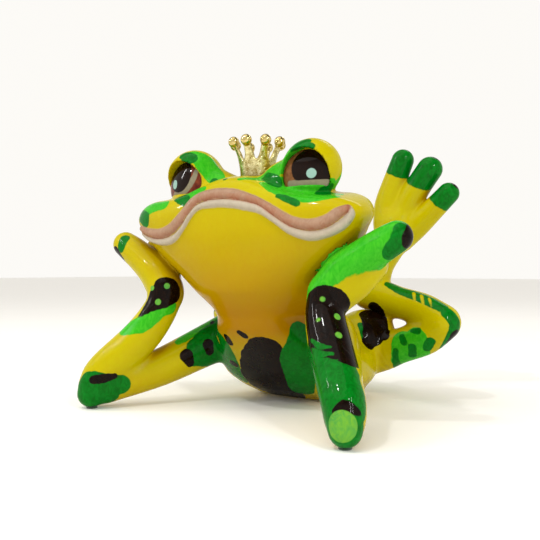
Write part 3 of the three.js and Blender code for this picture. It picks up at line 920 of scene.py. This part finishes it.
def painted_resin(name, lips=False):
    """Yellow sprayed resin with brushed greens and black-brown under a thick glossy varnish; its folds and
    throat carry painted shade as well.
    """
    def brushed(thin, thick, low=0.3, high=0.7):
        """A colour that covers unevenly, as the brush left it."""
        return paint.mix(paint.ramp(brush, low, high), ink(*thin), ink(*thick))

    paint = Paint(name)
    light, dark, black = paint.stored("paint_low")
    spots, over, bare = paint.stored("paint_high")
    fold_shade, height = paint.stored_number("fold_shade"), paint.height()
    edge = paint.noise(230, 3, 0.6)
    cloud = paint.noise(38, 3)
    brush = paint.noise(360, 2, 0.5, 1.4, (1, 1, 0.6))
    speckle = paint.noise(1500, 1)
    yellow = paint.mix(cloud, ink(174, 160, 0), ink(190, 180, 0))
    yellow = paint.mix(paint.ramp(brush, 0.35, 0.75, 0, 0.25), yellow, ink(178, 148, 0))
    # Darker and more orange towards the table.
    low = paint.ramp(height, 4, 26, 0.4, 0)
    low = paint.math("MULTIPLY", low, paint.ramp(cloud, 0.3, 0.7, 0.4, 1))
    # Airbrushed orange and painted shade on the throat, made uneven by the cloud.
    airbrush_and_shade = paint.math("MULTIPLY", paint.stored_number("airbrush_and_shade"), paint.ramp(cloud, 0.2, 0.8, 0.75, 1))
    # Painted shade: orange-brown (156, 84, 0) in the folds between parts, together with the darkening towards
    # the table and the throat's airbrushed orange with its painted shade.
    shade_and_airbrush = paint.math("MAXIMUM", paint.math("MAXIMUM", paint.ramp(fold_shade, 0.25, 0.95, 0, 0.4), low), airbrush_and_shade)
    yellow = paint.mix(shade_and_airbrush, yellow, ink(156, 84, 0))
    # Painted shade: dark brown at the bottom of the deepest folds.
    yellow = paint.mix(paint.ramp(fold_shade, 0.85, 1, 0, 0.2), yellow, ink(96, 34, 4))
    masks = [paint.inside(distance, 0.7, edge) for distance in (light, dark, black, over)]
    stripes = paint.math("SUBTRACT", 1, paint.inside(bare, 0.3, edge))
    masks[:2] = [paint.math("MULTIPLY", mask, stripes) for mask in masks[:2]]
    masks.append(paint.inside(spots, 0.3, edge))
    pale_green = brushed((40, 160, 20), (64, 178, 32))
    deep_green = brushed((0, 92, 12), (0, 116, 24))
    black_brown = brushed((9, 3, 1), (26, 11, 4), 0.35, 0.8)
    lime = brushed((76, 150, 60), (108, 168, 48))
    colour = yellow
    for mask, layer in zip(masks, (pale_green, deep_green, black_brown, deep_green, lime)):
        colour = paint.mix(mask, colour, layer)
    if lips:
        upper, lower, crease = paint.stored("lip_edges")
        pink, pale = brushed((154, 120, 96), (166, 134, 110)), brushed((172, 160, 140), (182, 170, 150))
        for lip, tint in ((lower, pale), (upper, pink)):
            colour = paint.mix(paint.inside(paint.math("SUBTRACT", lip, 0.4), 0.3, edge, 0.3), colour, tint)
        on_lips = paint.inside(paint.math("MINIMUM", upper, lower), 0.3, edge)
        # Orange-brown (150, 66, 24) on both lips, strongest next to the line between them.
        mouth_line_orange = paint.math("MINIMUM", paint.ramp(lower, 0.3, 4.6, 0.95, 0),
                           paint.ramp(upper, 0, 1.5, 0.95, 0))
        colour = paint.mix(paint.math("MULTIPLY", mouth_line_orange, on_lips), colour, ink(150, 66, 24))
        apart = paint.ramp(paint.math("MAXIMUM", upper, lower), 0.4, 1.6, 0, 2)
        seam = paint.math("ADD", paint.math("ABSOLUTE", crease), apart)
        colour = paint.mix(paint.ramp(seam, 0.1, 1, 0.6, 0), colour, ink(128, 46, 16))
    relief = paint.math("ADD", *(paint.math("MAXIMUM", *pair) for pair in (masks[:2], masks[2:4])))
    relief = paint.math("MULTIPLY_ADD", brush, 0.35, relief)
    relief = paint.math("MULTIPLY_ADD", speckle, 0.08, relief)
    paint.set(Base_Color=colour, Roughness=paint.ramp(paint.noise(160, 3), 0.3, 0.75, 0.16, 0.34),
              Specular_IOR_Level=0.02, Coat_Weight=0.2, Coat_Roughness=0.015, Coat_IOR=1.45)
    paint.bump(relief, 0.00022, 0.7)
    paint.bump(paint.noise(90, 2), 0.0006, 0.12, "Coat Normal")
    return paint.material


def eye_gloss(name, iris, iris_edge):
    paint = Paint(name)
    pupil, dot, band = paint.stored("eye_edges")
    wave = paint.noise(500, 3)
    colour = paint.mix(paint.ramp(wave, 0.35, 0.7), iris, iris_edge)
    pale = paint.mix(wave, ink(120, 112, 92), ink(142, 134, 108))
    colour = paint.mix(paint.inside(band, 0.25, wave), colour, pale)
    dark = paint.mix(wave, ink(12, 4, 1), ink(28, 10, 3))
    colour = paint.mix(paint.inside(pupil, 0.2, wave), colour, dark)
    colour = paint.mix(paint.inside(dot, 0.12, wave, 0.15), colour, ink(142, 178, 166))
    paint.set(Base_Color=colour, Roughness=paint.ramp(wave, 0.3, 0.7, 0.08, 0.16),
              Specular_IOR_Level=0.04, Coat_Weight=0.22, Coat_Roughness=0.015)
    paint.bump(paint.inside(dot), 0.0001, 0.6)
    return paint.material


def crown_gold(name):
    """Rough-cast antique gold with darker hollows and rubbed, nearly polished balls."""
    paint = Paint(name)
    cast = paint.noise(420, 4, 0.6)
    grain = paint.noise(2600, 2)
    smooth = paint.ramp(paint.stored_number("ball_distance"), -0.4, 1.2, 1, 0)
    gold = paint.mix(paint.ramp(cast, 0.35, 0.62), ink(156, 136, 66), ink(236, 226, 172))
    gold = paint.mix(paint.ramp(cast, 0.58, 0.75), gold, ink(240, 230, 186))
    gold = paint.mix(smooth, gold, ink(206, 182, 110))
    # Darker towards the crown's foot, where it sits on the head.
    gold = paint.mix(paint.ramp(paint.height(), 134, 142, 0.6, 0), gold, ink(92, 74, 26))
    rough = paint.math("MULTIPLY_ADD", smooth, -0.14, paint.ramp(cast, 0.3, 0.7, 0.32, 0.16))
    paint.set(Base_Color=gold, Roughness=rough, Metallic=1.0)
    relief = paint.math("MULTIPLY_ADD", grain, 0.2, cast)
    paint.bump(paint.math("MULTIPLY", relief, paint.ramp(smooth, 0, 1, 1, 0.15)), 0.0006, 0.8)
    return paint.material


def felt(name):
    paint = Paint(name)
    tuft, fibre = paint.noise(900, 3), paint.noise(2400, 4, 0.7, 1.5, (1, 0.3, 1))
    paint.set(Base_Color=paint.mix(fibre, ink(22, 44, 26), ink(52, 84, 56)),
              Roughness=paint.ramp(tuft, 0, 1, 0.85, 1), Sheen_Weight=0.5, Sheen_Roughness=0.5)
    paint.bump(paint.math("ADD", tuft, fibre), 0.0004)
    return paint.material


def drawn_steel(name):
    paint = Paint(name)
    drawn = paint.noise(1800, 3, 0.6, 0, (1, 1, 0.1))
    paint.set(Base_Color=paint.mix(drawn, ink(128, 130, 134), ink(186, 188, 192)),
              Roughness=paint.ramp(drawn, 0.3, 0.7, 0.28, 0.45), Metallic=1.0)
    paint.bump(drawn, 0.0001)
    return paint.material


def matte_floor(name):
    paint = Paint(name)
    mottle = paint.noise(9, 4)
    paint.set(Base_Color=paint.mix(mottle, ink(251, 249, 245), ink(254, 252, 248)),
              Roughness=paint.ramp(mottle, 0.3, 0.7, 0.85, 0.95), Specular_IOR_Level=0.1)
    paint.bump(paint.noise(900, 3), 0.0001, 0.3)
    return paint.material


def oval(u, v, centre, radii):
    """Roughly how far outside an ellipse a point is."""
    x, y = (u - centre[0]) / radii[0], (v - centre[1]) / radii[1]
    return (np.hypot(x, y) - 1) * min(radii)


def ribbon(u, v, rows):
    """Distance to a flat painted line through rows of across, up, half width."""
    flat = np.stack([u, v, np.zeros_like(u)], 1).astype(F)
    return limb(flat, [(a, b, 0, r) for a, b, r in rows], 3)


def store_eye(mesh, points, side):
    u, v, _ = eye_frame(points.astype(F), side)
    if side > 0:
        pupil = common(oval(u, v, (3.4, 5), (12.8, 11)), -1.9 - v, 1.5)
        pupil = np.minimum(pupil, ribbon(u, v, [(12, 1, 2.4), (14.5, -2.5, 1.6), (15, -5, 1)]))
        dot = oval(u, v, (2.6, 1.65), (2.8, 2.7))
        band = ribbon(u, v, [(-10, -3.4, 1.9), (0, -3.9, 2.5), (9, -3.9, 2.5), (14, -4, 1.6)])
    else:
        pupil = oval(u, v, (1.2, 6), (9.4, 9.6))
        dot = oval(u, v, (5.2, 1.5), (2.5, 2.8))
        band = ribbon(u, v, [(6, -4.6, 1.6), (-1, -4, 2), (-6.5, -1, 2.1), (-10, 4, 1.8), (-11, 9, 1.2)])
    write(mesh, "eye_edges", np.stack([pupil, dot, band], 1))


# ---- the figurine ----
add_camera()
add_lights()
bpy.context.scene.view_settings.view_transform = "Standard"

resin, face_resin = painted_resin("painted_resin"), painted_resin("painted_face", True)
CASTINGS = [  # name, field, corners of its block, spacing, cuts
    ("head", face, (-94, -115, 50), (92, -25, 165), 1.0, [NECK_BOTTOM]),
    ("torso", torso, (-76, -102, -3), (76, 42, 66), 1.2, TORSO_CUTS),
    ("left_arm", arm, (28, -142, -3), (108, -52, 114), 1.0, [SOLE_CUT, joint_cut(SHOULDER, False)]),
    ("left_leg", leg, (10, -20, 0), (100, 48, 92), 1.0, [joint_cut(HIP, False), ANKLE_TOP]),
    ("left_foot", folded_leg, (14, 2, 68), (96, 50, 168), 1.0, [ANKLE_BOTTOM]),
]
for name, field, low, high, voxel, cuts in CASTINGS:
    mesh, points, normals, caps = meshed(name + "_skin", field, low, high, voxel, cuts)
    if name.startswith("left_"):
        other = name.replace("left_", "right_")
        copy, flipped, flipped_normals = mirrored_mesh(mesh, other + "_skin", points, normals, caps)
        store_paint(copy, flipped, flipped_normals, BODY_PAINT)
        add_piece(other + "_casting", copy, other, resin)
    store_paint(mesh, points, normals, HEAD_PAINT if name == "head" else BODY_PAINT)
    add_piece(name + "_casting", mesh, name, face_resin if name == "head" else resin)

EYE_COLOURS = {1: (ink(134, 88, 48), ink(104, 60, 28)), -1: (ink(118, 54, 28), ink(84, 26, 14))}
for side, word in ((1, "left"), (-1, "right")):
    x = side * 41
    low, high = (x - 24, -92, 122), (x + 24, -60, 152)
    mesh, points, _, _ = meshed(word + "_eye_skin", lambda p: eye(p, side), low, high, 0.5)
    store_eye(mesh, points, side)
    gloss = eye_gloss(word + "_eye_gloss", *EYE_COLOURS[side])
    add_piece(word + "_eye_lens", mesh, word + "_eye", gloss)

mesh, points, _, _ = meshed("crown_skin", crown, (-21, -96, 132), (23, -53, 162), 0.45)
write(mesh, "ball_distance", crown_frame(points)[2])
add_piece("crown_casting", mesh, "crown", crown_gold("crown_gold"))

PADS = [("belly_pad", (0, -6), (26, 16)), ("left_elbow_pad", (84.2, -123.6), (3.2, 3.2)),
        ("right_elbow_pad", (-84.2, -123.6), (3.2, 3.2))]
felt_material = felt("green_felt")
for name, centre, radii in PADS:
    low = (centre[0] - radii[0] - 2, centre[1] - radii[1] - 2, -2)
    high = (centre[0] + radii[0] + 2, centre[1] + radii[1] + 2, 4)
    mesh = meshed(name + "_skin", felt_disc(centre, radii), low, high, 0.4)[0]
    add_piece(name + "_felt", mesh, name, felt_material)

steel = drawn_steel("drawn_steel")
for node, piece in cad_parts.items():
    if node.endswith("_dowel"):
        piece.material_slots[0].material = steel

floor_mesh = bpy.data.meshes.new("floor")
ground = [(x * FLOOR_REACH, y * FLOOR_REACH, 0) for x, y in ((-1, -1), (1, -1), (1, 1), (-1, 1))]
floor_mesh.from_pydata(ground, [], [(0, 1, 2, 3)])
floor_mesh.materials.append(matte_floor("matte_floor"))
placed("floor", floor_mesh)
